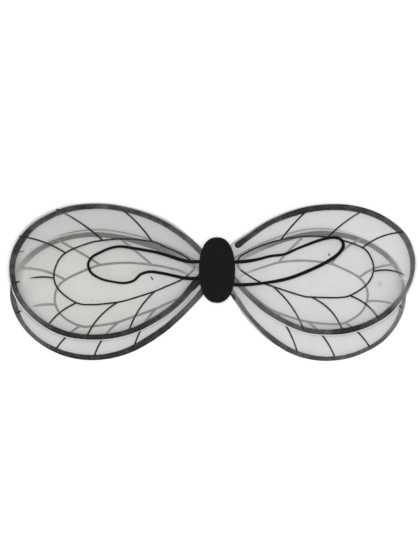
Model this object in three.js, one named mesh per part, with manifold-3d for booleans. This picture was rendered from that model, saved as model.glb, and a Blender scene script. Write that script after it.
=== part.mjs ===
// Costume insect wings lying flat, strap side up: four sheer wings on wire rims, a felt pad and two elastics.
// Millimetres. +X runs along the span, +Y is towards the upper wings' front edges, +Z is up.
// The origin is on the pad's underside, at its centre.
import * as THREE from "three";
import { ParametricGeometry } from "three/addons/geometries/ParametricGeometry.js";
import { mergeVertices } from "three/addons/utils/BufferGeometryUtils.js";
import Module from "manifold-3d";

const wasm = await Module();
wasm.setup();

// Clearance that touching pieces keep.
const GAP = 0.3;

// Rim: wire inside its fabric casing.
const RIM_DIAMETER = 2.4;
const RIM_SIDES = 6;
const RIM_STEPS = 44;

// Fabric inside the rim.
const FILM_THICK = 1;
const FILM_RINGS = 3;
const FILM_AROUND = 45;
const FILM_RIM_GAP = 0.5;

// Raised print on the fabric.
const PRINT_THICK = 0.5;
const BAND_WIDTH = 6.6;
const BAND_RIM_GAP = 0.1;
const VEIN_WIDTH = 1.9;
const BAND_STEPS = 44;
const LOOP_STEPS = 32;
const BRANCH_STEPS = 5;
const BAND_END_STEPS = 4;

// Flat elastic of the arm loops.
const ELASTIC_WIDTH = 4.8;
const ELASTIC_THICK = 1.6;
const ELASTIC_SIDES = 8;
const ELASTIC_STEPS = 52;
const ELASTIC_HELD_POINTS = 3;

// Oval felt pad: layers of felt with a slot for each pair of wing roots.
const PAD_WIDTH = 50.4;
const PAD_LENGTH = 90.8;
const PAD_SQUARENESS = 2.3;
const PAD_EDGE_ROUND = 3;
const PAD_EDGE_STEPS = 3;
const PAD_AROUND = 40;
const FELT_LAYER = 1.6;
const FELT_BETWEEN_ROOTS = 1;
const SLOT_GAP = 0.4;

// Heights of the wings' middle surfaces.
const SLOT_HEIGHT = RIM_DIAMETER + 2 * SLOT_GAP;
const LOWER_ROOT_Z = FELT_LAYER + SLOT_HEIGHT / 2;
const LOWER_LYING_Z = RIM_DIAMETER / 2;
const UPPER_ROOT_Z = LOWER_ROOT_Z + SLOT_HEIGHT + FELT_BETWEEN_ROOTS;
const UPPER_TIP_RISE = 12;
const UPPER_FRONT_LIFT = 0.03;
const PRINT_LIFT = FILM_THICK / 2 + GAP;
const ELASTIC_LIFT = PRINT_LIFT + PRINT_THICK + GAP + ELASTIC_THICK / 2;
const PAD_THICK = UPPER_ROOT_Z + ELASTIC_LIFT + ELASTIC_THICK / 2 + GAP + FELT_LAYER;

// Wings run level inside the pad, up to FLAT_OUT. Lower ones lie on the ground past LYING_OUT.
const FLAT_OUT = 26;
const LYING_OUT = 200;
const TIP_OUT = 287.5;

// How far inside a wing's outer edge each piece lies.
const RIM_INSET = RIM_DIAMETER / 2;
const FILM_INSET = RIM_DIAMETER + FILM_RIM_GAP;
const BAND_INSET = RIM_DIAMETER + BAND_RIM_GAP;

// Each wing is given by sections across it. out: distance from the pad's middle line.
// front and rear: y of the outer edge. loopFront and loopRear: y of the inner loop vein.
// tip closes the edge, and loopTip and loopRoot close the loop, as [out, y] places.
// Each branch vein runs from the loop past a via point to the band, as [out, y] places.
// bandStart: share of the edge, from its front root, that the glitter band leaves bare.
const WINGS = [
  {
    name: "left_upper",
    side: -1,
    upper: true,
    bandStart: 0,
    sections: [
      { out: 9.5, front: 18, rear: -6 },
      { out: 25, front: 34.5, rear: -21 },
      { out: 43, front: 51, loopFront: 18, loopRear: -9.5, rear: -43.5 },
      { out: 72, front: 71, loopFront: 32, loopRear: -23.5, rear: -68 },
      { out: 127.5, front: 89, loopFront: 43, loopRear: -42.5, rear: -91.5 },
      { out: 176, front: 93, loopFront: 37.5, loopRear: -48, rear: -96.5 },
      { out: 220.5, front: 85.5, loopFront: 12, loopRear: -26, rear: -88.5 },
      { out: 259, front: 64, rear: -62.5 },
      { out: 280, front: 36, rear: -33.5 },
    ],
    tip: [287.5, 1.5],
    loopTip: [226.5, -8.5],
    loopRoot: [31, 5.5],
    branches: [
      { loop: [89.5, 39], via: [108, 62.5], band: [133, 85] },
      { loop: [157.5, 41], via: [185.5, 64], band: [217.5, 83] },
      { loop: [209.5, 23.5], via: [235.5, 37], band: [269, 45.5] },
      { loop: [226.5, -11], via: [252.5, -10.5], band: [280.5, -19] },
      { loop: [194, -45.5], via: [216, -58], band: [234, -77] },
      { loop: [137, -44.5], via: [163.5, -66], band: [180, -91.5] },
      { loop: [85, -29], via: [108, -55], band: [122, -84.5] },
    ],
  },
  {
    name: "right_upper",
    side: 1,
    upper: true,
    bandStart: 0.046,
    sections: [
      { out: 7, front: 25, rear: -3 },
      { out: 21, front: 37.5, rear: -15 },
      { out: 40, front: 50.5, loopFront: 23.5, loopRear: -5.5, rear: -35.5 },
      { out: 73.5, front: 71.5, loopFront: 38, loopRear: -21.5, rear: -64 },
      { out: 122, front: 88.5, loopFront: 46.5, loopRear: -36, rear: -86.5 },
      { out: 170.5, front: 91.5, loopFront: 42, loopRear: -37.5, rear: -88.5 },
      { out: 209.5, front: 84, loopFront: 23, loopRear: -17, rear: -78 },
      { out: 242.5, front: 67, rear: -57 },
      { out: 264.5, front: 44.5, rear: -25.5 },
    ],
    tip: [274.5, 9.5],
    loopTip: [216.5, 3],
    loopRoot: [29.5, 11],
    branches: [
      { loop: [88, 41.5], via: [102, 59], band: [121.5, 79.5] },
      { loop: [153, 45.5], via: [173.5, 63.5], band: [198, 80] },
      { loop: [202.5, 30], via: [224.5, 45], band: [254.5, 51.5] },
      { loop: [216.5, -2], via: [238.5, -0.5], band: [266, -11] },
      { loop: [183.5, -35.5], via: [206.5, -48], band: [223, -66.5] },
      { loop: [130.5, -36.5], via: [156.5, -55.5], band: [173.5, -83] },
      { loop: [77.5, -23.5], via: [102, -49], band: [120, -82.5] },
    ],
  },
  {
    name: "left_lower",
    side: -1,
    upper: false,
    bandStart: 0,
    sections: [
      { out: 12.5, front: 3, rear: -25 },
      { out: 21, front: 7.5, rear: -36 },
      { out: 43, front: 20, loopFront: -5, loopRear: -33.5, rear: -60 },
      { out: 72, front: 34, loopFront: 4, loopRear: -47.5, rear: -86 },
      { out: 123.5, front: 50, loopFront: 10, loopRear: -67.5, rear: -115.5 },
      { out: 173, front: 55.5, loopFront: 3.5, loopRear: -78, rear: -124.5 },
      { out: 217.5, front: 48, loopFront: -19.5, loopRear: -60.5, rear: -116.5 },
      { out: 256.5, front: 28.5, rear: -92.5 },
      { out: 280, front: 0, rear: -60.5 },
    ],
    tip: [287, -30.5],
    loopTip: [225, -40],
    loopRoot: [32, -19.5],
    branches: [
      { loop: [90, 7], via: [109.5, 23.5], band: [131.5, 41] },
      { loop: [161.5, 7], via: [188.5, 23.5], band: [220.5, 41.5] },
      { loop: [210.5, -13], via: [237, -2], band: [271.5, 2.5] },
      { loop: [224, -48], via: [251, -49.5], band: [275, -58] },
      { loop: [190, -77.5], via: [209.5, -93], band: [222, -108] },
      { loop: [136, -72], via: [157.5, -94], band: [170, -119] },
      { loop: [84.5, -53.5], via: [102.5, -77.5], band: [115.5, -108] },
    ],
  },
  {
    name: "right_lower",
    side: 1,
    upper: false,
    bandStart: 0,
    sections: [
      { out: 11, front: 7, rear: -23.5 },
      { out: 21, front: 14, rear: -38 },
      { out: 40, front: 26, loopFront: -5, loopRear: -28.5, rear: -66.5 },
      { out: 73.5, front: 41, loopFront: 7, loopRear: -54, rear: -98.5 },
      { out: 122, front: 55.5, loopFront: 13, loopRear: -71, rear: -122.5 },
      { out: 167.5, front: 55, loopFront: 5, loopRear: -75, rear: -124.5 },
      { out: 201, front: 46, loopFront: -14, loopRear: -57.5, rear: -115.5 },
      { out: 233, front: 27.5, rear: -97 },
      { out: 253.5, front: 5.5, rear: -69 },
    ],
    tip: [262, -32],
    loopTip: [209, -34.5],
    loopRoot: [36, -14],
    branches: [
      { loop: [87.5, 10.5], via: [101, 27.5], band: [118, 44.5] },
      { loop: [158, 8.5], via: [176, 28.5], band: [199.5, 42.5] },
      { loop: [197.5, -9.5], via: [220.5, 3], band: [245.5, 7] },
      { loop: [209, -43.5], via: [231.5, -44], band: [255.5, -52.5] },
      { loop: [177.5, -73], via: [196, -87], band: [211.5, -106.5] },
      { loop: [126, -72.5], via: [148.5, -94], band: [163, -120.5] },
      { loop: [82, -58], via: [100, -85], band: [111.5, -115] },
    ],
  },
];

// Routes of the two arm loops over the upper wings, from the pad and back to it, as [x, y] places.
const ELASTIC_ROUTES = {
  left_elastic: [
    [-12.5, 11], [-25, 11.5], [-37.5, 11.5], [-51.5, 14.5], [-65, 19], [-82, 24], [-100, 27.5],
    [-118, 30.5], [-134.5, 32.5], [-148.5, 30], [-162, 24], [-173, 17.5], [-178, 8.5], [-174.5, -3],
    [-162, -11.5], [-145.5, -16], [-127.5, -18], [-115, -14.5], [-105.5, -6], [-93, -2.5],
    [-76, -4.5], [-59.5, -8], [-43, -11.5], [-25, -11.5], [-12.5, -10.5],
  ],
  right_elastic: [
    [12.5, 11], [25, 11], [40, 12], [55.5, 14.5], [73.5, 19], [94, 22], [111, 29.5], [127.5, 36],
    [143, 41.5], [156.5, 44.5], [166.5, 44.5], [173, 40], [174.5, 33], [169, 23.5], [156.5, 14],
    [140, 5], [122, -3], [102.5, -10.5], [84.5, -15], [65, -18], [45.5, -20], [29, -20.5], [16.5, -20],
  ],
};

// Materials, one for each sort of surface.
const FINISH = {
  felt: { color: 0x1b1b1e, roughness: 0.95, metalness: 0 },
  casing: { color: 0xb9b9b8, roughness: 0.8, metalness: 0 },
  sheer: { color: 0xd2d2cf, roughness: 0.7, metalness: 0 },
  glitter: { color: 0x333333, roughness: 0.55, metalness: 0.1 },
  elastic: { color: 0x111114, roughness: 0.85, metalness: 0 },
};

// Height of a wing's middle surface: level in the pad, then a lower wing sinks to the ground and an upper wing
// rises, its front edge most.
function surfaceHeight(wing, x, y) {
  const out = Math.max(0, Math.abs(x) - FLAT_OUT);
  if (!wing.upper) {
    const sunk = THREE.MathUtils.smoothstep(out, 0, LYING_OUT - FLAT_OUT);
    return THREE.MathUtils.lerp(LOWER_ROOT_Z, LOWER_LYING_Z, sunk);
  }
  const share = out / (TIP_OUT - FLAT_OUT);
  return UPPER_ROOT_Z + UPPER_TIP_RISE * share ** 2 + UPPER_FRONT_LIFT * share * y;
}

// A place on a wing's plan, from its distance out and its y.
function planPoint(wing, [out, y]) {
  return new THREE.Vector2(wing.side * out, y);
}

// A smooth plan curve through points, as evenly spaced points from a share of its length on.
function smoothPoints(points, steps, { closed = false, from = 0 } = {}) {
  const curve = new THREE.CatmullRomCurve3(points.map((p) => new THREE.Vector3(p.x, p.y, 0)), closed);
  const spaced = [];
  for (let i = 0; i <= steps; i += 1) {
    const place = curve.getPointAt(THREE.MathUtils.lerp(from, 1, i / steps));
    spaced.push(new THREE.Vector2(place.x, place.y));
  }
  return spaced;
}

// The wing's outer edge from its front root round the tip to its rear root.
function edgePoints(wing, steps, from) {
  const front = wing.sections.map((row) => planPoint(wing, [row.out, row.front]));
  const rear = wing.sections.map((row) => planPoint(wing, [row.out, row.rear]));
  return smoothPoints([...front, planPoint(wing, wing.tip), ...rear.reverse()], steps, { from });
}

// The inner loop vein as a closed run of points, its first point given again at the end.
function loopPoints(wing, steps) {
  const rows = wing.sections.filter((row) => row.loopFront !== undefined);
  const front = rows.map((row) => planPoint(wing, [row.out, row.loopFront]));
  const rear = rows.map((row) => planPoint(wing, [row.out, row.loopRear]));
  const tip = planPoint(wing, wing.loopTip);
  const root = planPoint(wing, wing.loopRoot);
  return smoothPoints([root, ...front, tip, ...rear.reverse()], steps, { closed: true });
}

// Unit normals of a run of points, to the left of its direction.
function leftNormals(points) {
  const last = points.length - 1;
  return points.map((_, i) => {
    const along = points[Math.min(last, i + 1)].clone().sub(points[Math.max(0, i - 1)]).normalize();
    return new THREE.Vector2(-along.y, along.x);
  });
}

// A run of points moved sideways, to its left for a positive distance.
function offsetRun(points, distance) {
  const normals = leftNormals(points);
  return points.map((p, i) => p.clone().addScaledVector(normals[i], distance));
}

// The wing's edge moved into the wing.
function insetEdge(wing, inset, steps, from = 0) {
  return offsetRun(edgePoints(wing, steps, from), -wing.side * inset);
}

// A mesh's geometry as a solid, and back.
function toSolid(geometry) {
  geometry.deleteAttribute("normal");
  geometry.deleteAttribute("uv");
  const merged = mergeVertices(geometry);
  return new wasm.Manifold(
    new wasm.Mesh({
      numProp: 3,
      vertProperties: merged.attributes.position.array,
      triVerts: new Uint32Array(merged.index.array),
    }),
  );
}

function toGeometry(solid) {
  const mesh = solid.getMesh();
  const geometry = new THREE.BufferGeometry();
  geometry.setAttribute("position", new THREE.BufferAttribute(mesh.vertProperties, mesh.numProp));
  geometry.setIndex(new THREE.BufferAttribute(mesh.triVerts, 1));
  return geometry;
}

// A flat plate with the given plan, between two heights.
function plateSolid(outline, bottom, top) {
  const shape = new THREE.Shape(outline);
  const plate = new THREE.ExtrudeGeometry(shape, { depth: top - bottom, bevelEnabled: false });
  return toSolid(plate.translate(0, 0, bottom));
}

// The half circle that rounds the end of a strip, from its right side to its left.
function roundEnd(centre, along, radius) {
  const points = [];
  for (let i = 1; i < BAND_END_STEPS; i += 1) {
    const angle = Math.PI * (i / BAND_END_STEPS - 0.5);
    const turned = along.clone().rotateAround(new THREE.Vector2(), angle);
    points.push(centre.clone().addScaledVector(turned, radius));
  }
  return points;
}

// A flat strip of even width along a run of points, with square or round ends.
function stripSolid(points, width, bottom, top, rounded = false) {
  const left = offsetRun(points, width / 2);
  const right = offsetRun(points, -width / 2);
  const last = points.length - 1;
  const ahead = points[last].clone().sub(points[last - 1]).normalize();
  const back = points[0].clone().sub(points[1]).normalize();
  const headEnd = rounded ? roundEnd(points[last], ahead, width / 2) : [];
  const tailEnd = rounded ? roundEnd(points[0], back, width / 2) : [];
  return plateSolid([...right, ...headEnd, ...left.reverse(), ...tailEnd], bottom, top);
}

// A ring-shaped strip: the plate inside its outer side, less the plate inside its inner side.
function ringSolid(points, width, bottom, top) {
  const round = [points.at(-2), ...points, points[1]];
  const sides = [width / 2, -width / 2].map((distance) => offsetRun(round, distance).slice(1, -2));
  const plates = sides.map((side) => plateSolid(side, bottom, top));
  const [small, big] = plates.sort((a, b) => a.volume() - b.volume());
  return big.subtract(small);
}

// A plan curve lifted to a height that depends on its place.
function liftedCurve(points, heightAt) {
  return new THREE.CatmullRomCurve3(points.map((p) => new THREE.Vector3(p.x, p.y, heightAt(p.x, p.y))));
}

// A section with the given number of sides. On a level curve, high is upright and wide lies flat.
function ovalSection(high, wide, sides) {
  const corners = [];
  for (let i = 0; i < sides; i += 1) {
    const angle = (2 * Math.PI * (i + 0.5)) / sides;
    corners.push(new THREE.Vector2((high / 2) * Math.cos(angle), (wide / 2) * Math.sin(angle)));
  }
  return new THREE.Shape(corners);
}

function rimGeometry(wing) {
  const points = insetEdge(wing, RIM_INSET, RIM_STEPS);
  const path = liftedCurve(points, (x, y) => surfaceHeight(wing, x, y));
  const section = ovalSection(RIM_DIAMETER, RIM_DIAMETER, RIM_SIDES);
  return new THREE.ExtrudeGeometry(section, { steps: RIM_STEPS, extrudePath: path, bevelEnabled: false });
}

// The fabric: rings from its middle out to the rim and back, on the underside and then on the top.
function filmGeometry(wing) {
  const edge = insetEdge(wing, FILM_INSET, FILM_AROUND - 1);
  const middle = edge.reduce((sum, p) => sum.add(p), new THREE.Vector2()).divideScalar(edge.length);
  const stacks = 2 * FILM_RINGS + 1;
  const place = (u, v, target) => {
    const turn = wing.side < 0 ? u : 1 - u;
    const rim = edge[Math.round(turn * FILM_AROUND) % FILM_AROUND];
    const stack = Math.round(v * stacks);
    const onTop = stack > FILM_RINGS;
    const share = (onTop ? stacks - stack : stack) / FILM_RINGS;
    const plan = middle.clone().lerp(rim, share);
    const face = (onTop ? 1 : -1) * (FILM_THICK / 2);
    target.set(plan.x, plan.y, surfaceHeight(wing, plan.x, plan.y) + face);
  };
  return new ParametricGeometry(place, FILM_AROUND, stacks);
}

// The print: band, inner loop and branches, joined flat, kept clear of the rim and laid on the fabric.
function veinGeometry(wing) {
  const bandRun = insetEdge(wing, BAND_INSET + BAND_WIDTH / 2, BAND_STEPS, wing.bandStart);
  let print = stripSolid(bandRun, BAND_WIDTH, 0, PRINT_THICK, true);
  print = print.add(ringSolid(loopPoints(wing, LOOP_STEPS), VEIN_WIDTH, 0, PRINT_THICK));
  for (const row of wing.branches) {
    const places = [row.loop, row.via, row.band].map((place) => planPoint(wing, place));
    print = print.add(stripSolid(smoothPoints(places, BRANCH_STEPS), VEIN_WIDTH, 0, PRINT_THICK));
  }
  const field = plateSolid(insetEdge(wing, BAND_INSET, BAND_STEPS), 0, PRINT_THICK);
  const geometry = toGeometry(print.intersect(field));
  const position = geometry.getAttribute("position");
  for (let i = 0; i < position.count; i += 1) {
    const lift = surfaceHeight(wing, position.getX(i), position.getY(i)) + PRINT_LIFT;
    position.setZ(i, position.getZ(i) + lift);
  }
  return geometry;
}

function routePoints(name) {
  return ELASTIC_ROUTES[name].map(([x, y]) => new THREE.Vector2(x, y));
}

// The first points of a route, begun GAP earlier so that a slot along them ends clear of the elastic.
function withHeadRoom(points) {
  const back = points[0].clone().sub(points[1]).normalize();
  return [points[0].clone().addScaledVector(back, GAP), ...points.slice(1)];
}

function elasticGeometry(name) {
  const points = routePoints(name);
  const upper = WINGS.find((wing) => wing.upper && wing.side === Math.sign(points[0].x));
  const path = liftedCurve(points, (x, y) => surfaceHeight(upper, x, y) + ELASTIC_LIFT);
  const section = ovalSection(ELASTIC_THICK, ELASTIC_WIDTH, ELASTIC_SIDES);
  return new THREE.ExtrudeGeometry(section, { steps: ELASTIC_STEPS, extrudePath: path, bevelEnabled: false });
}

// The pad: a slab with rounded edges, cut by the wing roots' slots and by the ends of the elastics.
function padGeometry() {
  const corners = [];
  for (let i = 0; i < PAD_AROUND; i += 1) {
    const angle = (2 * Math.PI * i) / PAD_AROUND;
    const across = Math.sign(Math.cos(angle)) * Math.abs(Math.cos(angle)) ** (2 / PAD_SQUARENESS);
    const along = Math.sign(Math.sin(angle)) * Math.abs(Math.sin(angle)) ** (2 / PAD_SQUARENESS);
    corners.push(new THREE.Vector2((PAD_WIDTH / 2) * across, (PAD_LENGTH / 2) * along));
  }
  const slab = new THREE.ExtrudeGeometry(new THREE.Shape(corners), {
    depth: PAD_THICK - 2 * PAD_EDGE_ROUND,
    bevelThickness: PAD_EDGE_ROUND,
    bevelSize: PAD_EDGE_ROUND,
    bevelOffset: -PAD_EDGE_ROUND,
    bevelSegments: PAD_EDGE_STEPS,
  });
  let pad = toSolid(slab.translate(0, 0, PAD_EDGE_ROUND));
  for (const wing of WINGS) {
    const rootZ = wing.upper ? UPPER_ROOT_Z : LOWER_ROOT_Z;
    const slot = insetEdge(wing, -SLOT_GAP, RIM_STEPS);
    pad = pad.subtract(plateSolid(slot, rootZ - SLOT_HEIGHT / 2, rootZ + SLOT_HEIGHT / 2));
  }
  const elasticBottom = UPPER_ROOT_Z + ELASTIC_LIFT - ELASTIC_THICK / 2;
  const elasticTop = elasticBottom + ELASTIC_THICK;
  for (const name of Object.keys(ELASTIC_ROUTES)) {
    for (const end of [routePoints(name), routePoints(name).reverse()]) {
      const run = withHeadRoom(end.slice(0, ELASTIC_HELD_POINTS));
      pad = pad.subtract(stripSolid(run, ELASTIC_WIDTH + 2 * GAP, elasticBottom - GAP, elasticTop + GAP));
    }
  }
  return toGeometry(pad);
}

function addPiece(group, name, geometry, finish) {
  const mesh = new THREE.Mesh(geometry, new THREE.MeshStandardMaterial(FINISH[finish]));
  mesh.name = name;
  group.add(mesh);
}

const wings = new THREE.Group();
addPiece(wings, "centre_pad", padGeometry(), "felt");
for (const wing of WINGS) {
  const wingGroup = new THREE.Group();
  addPiece(wingGroup, `${wing.name}_rim`, rimGeometry(wing), "casing");
  addPiece(wingGroup, `${wing.name}_film`, filmGeometry(wing), "sheer");
  addPiece(wingGroup, `${wing.name}_veins`, veinGeometry(wing), "glitter");
  wings.add(wingGroup);
}
for (const name of Object.keys(ELASTIC_ROUTES)) {
  addPiece(wings, name, elasticGeometry(name), "elastic");
}

export default wings;
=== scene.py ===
"""Looks of the costume insect wings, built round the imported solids.

Lengths are in millimetres until a mesh is made.
"""

import math

import bpy
import numpy as np
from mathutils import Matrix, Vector, noise


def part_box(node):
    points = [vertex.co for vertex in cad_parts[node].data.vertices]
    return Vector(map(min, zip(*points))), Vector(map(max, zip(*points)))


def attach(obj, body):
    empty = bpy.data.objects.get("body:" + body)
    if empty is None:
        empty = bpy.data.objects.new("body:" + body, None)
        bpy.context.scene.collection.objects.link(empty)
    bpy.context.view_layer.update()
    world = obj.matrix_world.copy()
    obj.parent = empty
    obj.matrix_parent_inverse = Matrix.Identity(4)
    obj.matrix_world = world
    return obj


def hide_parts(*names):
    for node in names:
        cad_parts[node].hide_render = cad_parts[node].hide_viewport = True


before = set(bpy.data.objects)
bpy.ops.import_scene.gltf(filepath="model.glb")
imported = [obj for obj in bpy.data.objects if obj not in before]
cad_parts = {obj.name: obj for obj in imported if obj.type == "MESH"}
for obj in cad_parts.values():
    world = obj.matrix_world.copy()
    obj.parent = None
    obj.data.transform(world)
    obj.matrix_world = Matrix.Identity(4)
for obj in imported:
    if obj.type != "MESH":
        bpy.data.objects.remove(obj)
scene = bpy.context.scene
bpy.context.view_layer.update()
MM = 0.001
TINY = 1e-9
rng = np.random.default_rng(11)


def add_object(name, data):
    made = bpy.data.objects.new(name, data)
    scene.collection.objects.link(made)
    return made


# The photograph's frame, from straight above: millimetres in a pixel, its size and the origin's pixel.
PX = 1.386
FRAME_PX = (420, 560)
ORIGIN_PX = (217, 270)
LENS, SENSOR, CLIP_END = 200, 36, 100
FRAMED_HEIGHT = 3

camera_data = bpy.data.cameras.new("camera")
camera_data.lens = LENS
camera_data.sensor_width = SENSOR
camera_data.clip_end = CLIP_END
camera = add_object("camera", camera_data)
camera.location = (
    (FRAME_PX[0] / 2 - ORIGIN_PX[0]) * PX * MM,
    (ORIGIN_PX[1] - FRAME_PX[1] / 2) * PX * MM,
    (FRAMED_HEIGHT + FRAME_PX[1] * PX * LENS / SENSOR) * MM,
)
scene.camera = camera

# Plan curves.
CURVE_STEPS, BEND_STEPS = 16, 60


def lengths(vectors):
    return np.linalg.norm(vectors, axis=1)


def travelled(line):
    """Distances along a line to each of its points."""
    return np.concatenate([[0], np.cumsum(lengths(np.diff(line, axis=0)))])


def even_run(line, spacing):
    """The same line with evenly spaced points."""
    along = travelled(line)
    count = max(2, round(along[-1] / spacing))
    at = np.linspace(0, along[-1], count + 1)
    return np.stack([np.interp(at, along, line[:, k]) for k in range(line.shape[1])], 1)


def slide(p, q, start, end, t):
    """p at the start, q at the end."""
    return (end - t) / (end - start) * p + (t - start) / (end - start) * q


def smooth_run(points, spacing, closed=False):
    """A smooth, evenly spaced curve through the points. A closed one ends on its first point."""
    p = np.asarray(points, float)
    if closed:
        p = np.vstack([p[-1], p, p[:2]])
    else:
        p = np.vstack([2 * p[0] - p[1], p, 2 * p[-1] - p[-2]])
    share = np.linspace(0, 1, CURVE_STEPS, endpoint=False)[:, None]
    spans = []
    for p0, p1, p2, p3 in zip(p, p[1:], p[2:], p[3:]):
        k1 = np.linalg.norm(p1 - p0) ** 0.5
        k2 = k1 + np.linalg.norm(p2 - p1) ** 0.5
        k3 = k2 + np.linalg.norm(p3 - p2) ** 0.5
        t = k1 + (k2 - k1) * share
        a1 = slide(p0, p1, 0, k1, t)
        a2 = slide(p1, p2, k1, k2, t)
        a3 = slide(p2, p3, k2, k3, t)
        b1 = slide(a1, a2, 0, k2, t)
        b2 = slide(a2, a3, k1, k3, t)
        spans.append(slide(b1, b2, k1, k2, t))
    return even_run(np.vstack([*spans, p[-2][None]]), spacing)


def bent_run(start, via, end, spacing):
    """An evenly spaced bend from start past a via point to the end."""
    first, second = np.linalg.norm(via - start), np.linalg.norm(end - via)
    at = first / (first + second)
    t = np.linspace(0, 1, BEND_STEPS)[:, None]
    bend = start * (t - at) * (t - 1) / at + via * t * (t - 1) / (at * (at - 1))
    return even_run(bend + end * t * (t - at) / (1 - at), spacing)


def left_normals(run, closed=False):
    """Unit plan normals to the left. A closed run stops before its first point."""
    if closed:
        along = np.gradient(np.vstack([run[-1], run, run[0]]), axis=0)[1:-1]
    else:
        along = np.gradient(run, axis=0)
    along /= lengths(along)[:, None]
    return np.stack([-along[:, 1], along[:, 0]], 1)


def wobble(points, size, seed):
    """Smooth noise from -1 to 1 at each plan point, with features of that size."""
    return np.array([noise.noise(Vector((x, y, seed))) for x, y in points[:, :2] / size])


def ease(x, start, end):
    """0 before start, 1 after end and smooth between."""
    t = np.clip((x - start) / (end - start), 0, 1)
    return t * t * (3 - 2 * t)


def bell(x, middle, half):
    """1 at the middle, and less away from it."""
    return np.exp(-(((x - middle) / half) ** 2))


def distance_inside(points, ring):
    """How far each plan point is inside a closed ring, below zero outside."""
    nearest = np.full(len(points), np.inf)
    crossings = np.zeros(len(points), int)
    for p, q in zip(ring, np.roll(ring, -1, 0)):
        along = q - p
        t = np.clip(((points - p) @ along) / max(along @ along, TINY), 0, 1)
        nearest = np.minimum(nearest, lengths(points - (p + t[:, None] * along)))
        if p[1] != q[1]:
            spans = (p[1] > points[:, 1]) != (q[1] > points[:, 1])
            crossings += spans & (points[:, 0] < p[0] + (points[:, 1] - p[1]) / along[1] * along[0])
    return np.where(crossings % 2 == 1, nearest, -nearest)


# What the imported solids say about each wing.
FLAT_FACE = 0.3
HEIGHT_KNOTS = 12
FILM_TO_RIM, RIM_RADIUS = 1.7, 1.2
RING_SPACING, ROOT_IN = 5, 14
# The fabric hangs slack in its rim, with fine ripples, and is pleated at the root.
FABRIC_LIFT, SLACK_BETWEEN = 0.35, (0.5, 14)
SLACK, SLACK_SIZE = 0.35, 46
RIPPLE, RIPPLE_SIZE, RIPPLE_SQUEEZE = 0.10, 7, (0.35, 1)
PLEAT_FROM, PLEAT_REACH, PLEAT_HIGH = 20, 46, 0.45
PLEATS, PLEAT_WANDER, PLEAT_WANDER_SIZE = 34, 4, 45


def node_points(name):
    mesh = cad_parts[name].data
    points = np.empty(len(mesh.vertices) * 3)
    mesh.vertices.foreach_get("co", points)
    return points.reshape(-1, 3) / MM


def height_terms(plan, knots):
    out = np.abs(plan[:, 0])
    hats = [np.interp(out, knots, row) for row in np.eye(len(knots))]
    return np.column_stack([*hats, plan[:, 1], plan[:, 1] * out])


def surface_of(node):
    """The height of a wing's middle surface as a function, fitted to its solid fabric."""
    p = node_points(node)
    out = np.abs(p[:, 0])
    knots = np.linspace(out.min(), out.max(), HEIGHT_KNOTS)
    factors = np.linalg.lstsq(height_terms(p, knots), p[:, 2], rcond=None)[0]
    return lambda plan: height_terms(plan, knots) @ factors


def edge_of(node):
    """A solid fabric's edge, from its front root round the tip to its rear root."""
    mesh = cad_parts[node].data
    wall = sorted({v for f in mesh.polygons if abs(f.normal.z) < FLAT_FACE for v in f.vertices})
    plan = np.unique(np.round(node_points(node)[wall, :2], decimals=3), axis=0)
    from_middle = plan - plan.mean(0)
    plan = plan[np.argsort(np.arctan2(from_middle[:, 1], from_middle[:, 0]))]
    sides = lengths(np.roll(plan, -1, 0) - plan)
    plan = np.roll(plan, -(np.argmax(sides) + 1), axis=0)
    return plan if plan[0, 1] > plan[-1, 1] else plan[::-1]


class Wing:
    def __init__(self, name):
        self.name = name
        self.side = -1 if name.startswith("left") else 1
        self.upper = name.endswith("upper")
        self.height = surface_of(f"{name}_film")
        self.edge = edge_of(f"{name}_film")
        self.ring = self.inset(-FILM_TO_RIM, RING_SPACING)
        self.root = (self.ring[0] + self.ring[-1]) / 2 - [self.side * ROOT_IN, 0]

    def inset(self, distance, spacing):
        """The fabric's edge moved into the wing, evenly spaced."""
        run = smooth_run(self.edge, spacing / 2)
        return even_run(run - self.side * distance * left_normals(run), spacing)

    def lifted(self, plan, lift):
        return np.column_stack([plan, self.height(plan) + lift])

    def gathers(self, plan):
        """How gathered the fabric is at each plan point, and its pleats there."""
        from_root = plan - self.root
        angle = np.arctan2(from_root[:, 1], np.abs(from_root[:, 0]))
        gathered = bell(np.maximum(0, lengths(from_root) - PLEAT_FROM), 0, PLEAT_REACH)
        wander = PLEAT_WANDER * wobble(plan, PLEAT_WANDER_SIZE, seed=self.side)
        return gathered, gathered * np.sin(PLEATS * angle + wander)

    def on_fabric(self, plan, lift=0):
        slack = SLACK * wobble(plan, SLACK_SIZE, seed=5.0)
        slack = slack + RIPPLE * wobble(plan * RIPPLE_SQUEEZE, RIPPLE_SIZE, seed=9.0)
        free = ease(distance_inside(plan, self.ring), *SLACK_BETWEEN)
        return self.lifted(plan, FABRIC_LIFT + free * (slack + PLEAT_HIGH * self.gathers(plan)[1]) + lift)


WING_NAMES = ("left_upper", "right_upper", "left_lower", "right_lower")
WINGS = {name: Wing(name) for name in WING_NAMES}


def by_wing(*values):
    """A table of values in the order of the wings' names."""
    return dict(zip(WING_NAMES, values))


# Meshes.
def new_piece(name, points, faces, material, replaces=None, floats=None):
    """A piece from points in millimetres, with values of its points by name."""
    mesh = bpy.data.meshes.new(name)
    mesh.from_pydata((np.asarray(points) * MM).tolist(), [], faces)
    mesh.materials.append(material)
    mesh.shade_smooth()
    for key, values in (floats or {}).items():
        values = np.asarray(values, np.float32)
        mesh.attributes.new(key, "FLOAT", "POINT").data.foreach_set("value", values)
    piece = add_object(name, mesh)
    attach(piece, "root")
    if replaces:
        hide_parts(replaces)
    return piece


CAPS = 2


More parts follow.
